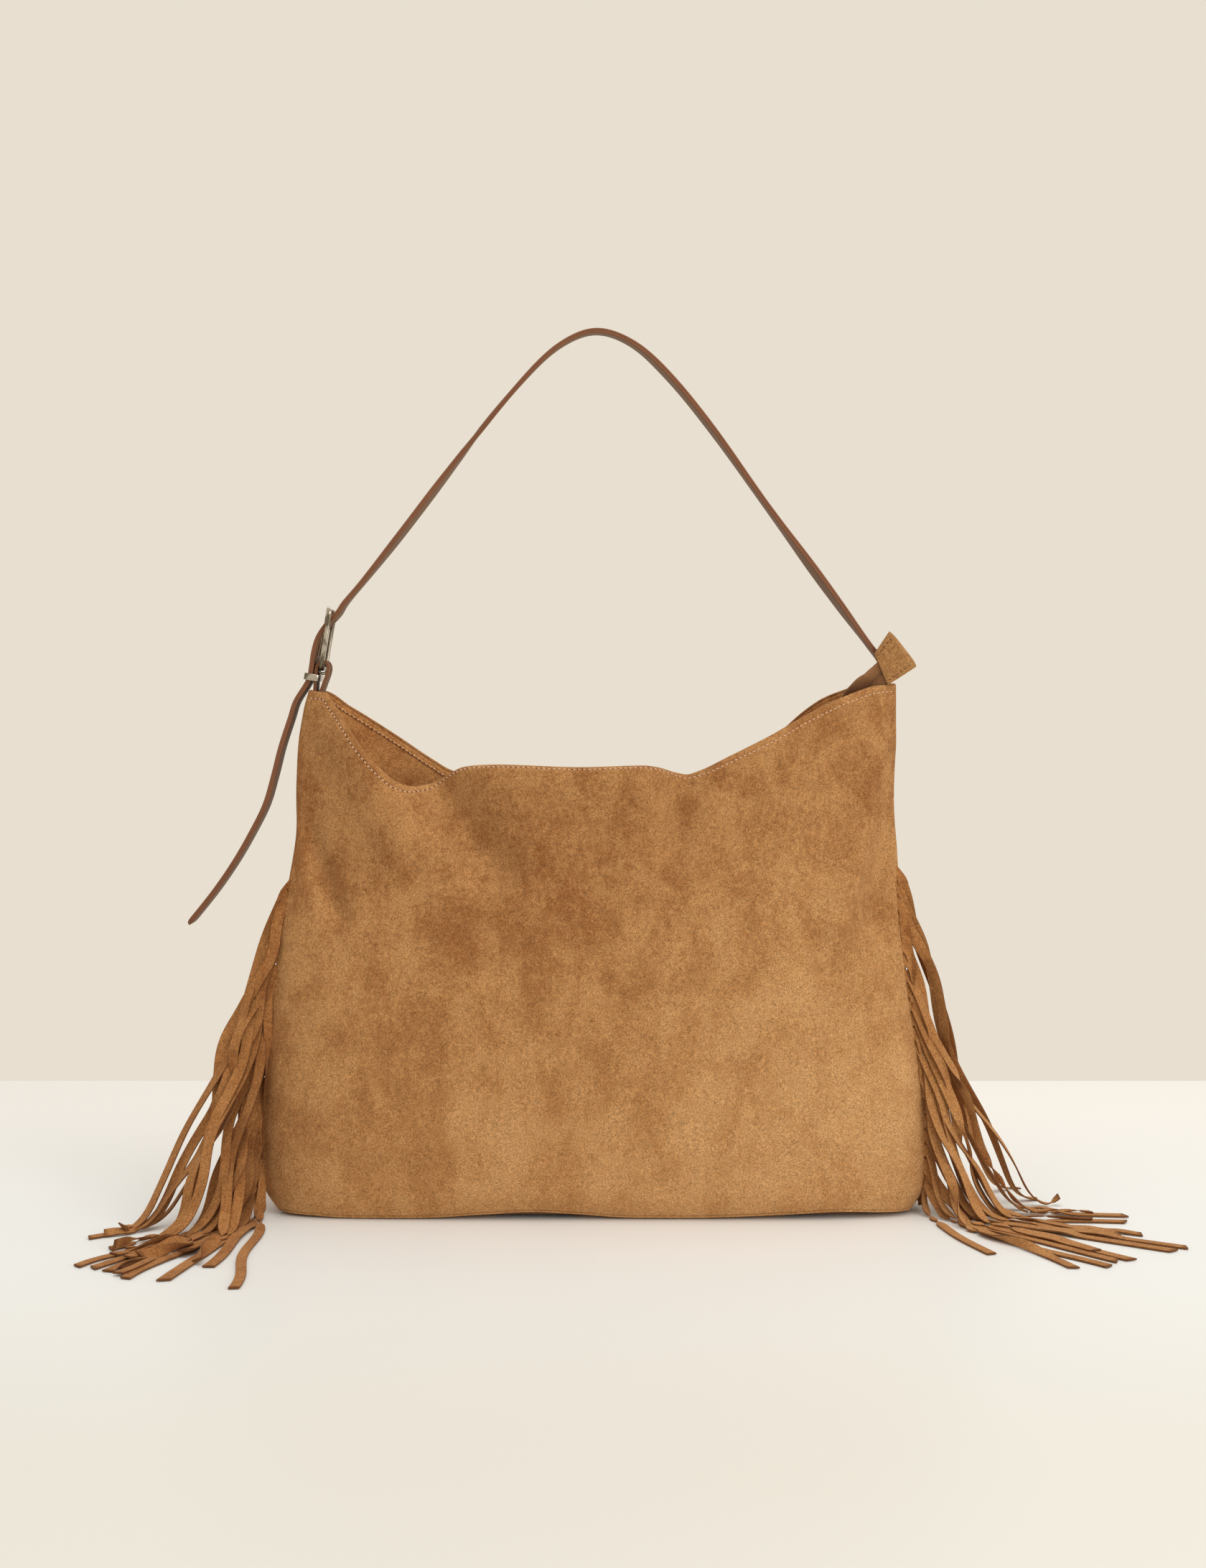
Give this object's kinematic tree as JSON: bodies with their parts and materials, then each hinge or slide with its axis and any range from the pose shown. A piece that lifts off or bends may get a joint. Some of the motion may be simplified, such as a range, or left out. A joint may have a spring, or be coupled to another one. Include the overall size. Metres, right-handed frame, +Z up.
{
  "type": "fringed suede shoulder bag",
  "caption": "Slouching suede shoulder bag with fringed side seams, a recessed zip and a leather shoulder strap closed by a prong buckle.",
  "frame": {"origin": "middle of the flat base, on the floor", "axes": "+X to the right along the bag's width, +Y from the front to the back, +Z up"},
  "size_m": [0.6592, 0.2695, 0.5503],
  "materials": {
    "suede": "brushed nap",
    "strap_leather": "smooth with painted edges",
    "metal": "polished pale gold",
    "zip_tape": "woven herringbone",
    "zip_coil": "moulded nylon",
    "lining_cloth": "plain weave"
  },
  "bodies": {
    "bag": {"base_panel": "suede", "front_panel": "suede", "back_panel": "suede", "left_gusset": "suede", "right_gusset": "suede", "left_fringe": "suede", "right_fringe": "suede", "front_facing": "suede", "back_facing": "suede", "zip_end_tab": "suede", "shoulder_strap": "strap_leather", "buckle_loop": "strap_leather", "strap_keeper": "metal", "zip_tape_front": "zip_tape", "zip_tape_back": "zip_tape", "zip_coil_front": "zip_coil", "zip_coil_back": "zip_coil", "lining": "lining_cloth", "zip_panel_front": "lining_cloth", "zip_panel_back": "lining_cloth"},
    "zip_slider": {"zip_slider": "metal"},
    "zip_puller": {"zip_puller": "metal"},
    "buckle": {"buckle_frame": "metal"},
    "prong": {"buckle_prong": "metal"}
  },
  "joints": [
    {"name": "zip_slide", "type": "slide", "parent": "bag", "child": "zip_slider", "axis": [1, 0, 0], "range_m": [0, 0.07]},
    {"name": "puller_swing", "type": "hinge", "parent": "zip_slider", "child": "zip_puller", "pos_m": [0.052, 0, 0.23505], "axis": [0, 1, 0], "range_deg": [0, 160]},
    {"name": "buckle_swing", "type": "hinge", "parent": "bag", "child": "buckle", "pos_m": [-0.1709, 0, 0.3376], "axis": [0, -1, 0], "range_deg": [0, 4]},
    {"name": "prong_lift", "type": "hinge", "parent": "buckle", "child": "prong", "pos_m": [-0.1709, 0, 0.3376], "axis": [0, -1, 0], "range_deg": [0, 4]}
  ]
}
